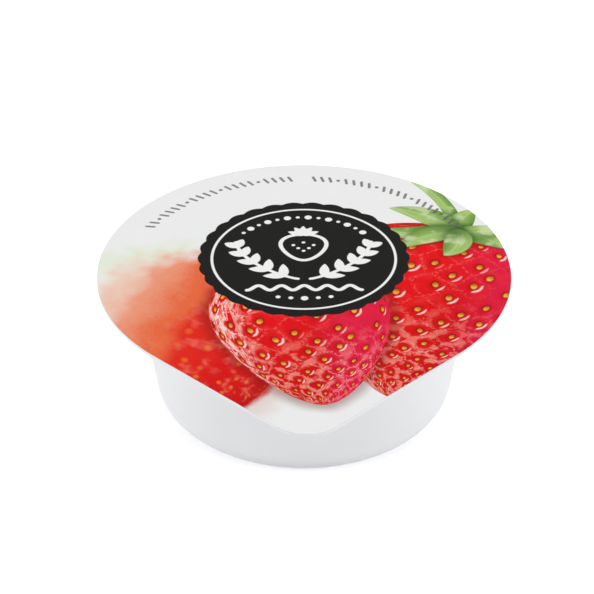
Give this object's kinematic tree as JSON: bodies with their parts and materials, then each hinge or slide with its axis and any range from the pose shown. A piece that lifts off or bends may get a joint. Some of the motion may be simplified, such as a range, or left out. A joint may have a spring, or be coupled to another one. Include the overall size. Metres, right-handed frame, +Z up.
{
  "type": "jam portion cup",
  "caption": "Single-serve portion cup of jam: round drafted white plastic cup with a flat teardrop flange and a printed foil lid sealed over it, shut.",
  "frame": {"origin": "where the cup's axis meets the surface that it stands on, in the middle of its standing ring", "axes": "+Z up along the cup's axis; -Y towards the pull lug of the flange; +X to the right for someone who faces the lug"},
  "size_m": [0.046, 0.0534, 0.0164],
  "materials": {
    "cup_plastic": "moulded white polypropylene, satin",
    "lid_foil": "white lacquered aluminium foil with a fruit print in red, green and near black, satin"
  },
  "bodies": {
    "root": {"cup": "cup_plastic", "lid": "lid_foil"}
  },
  "joints": []
}
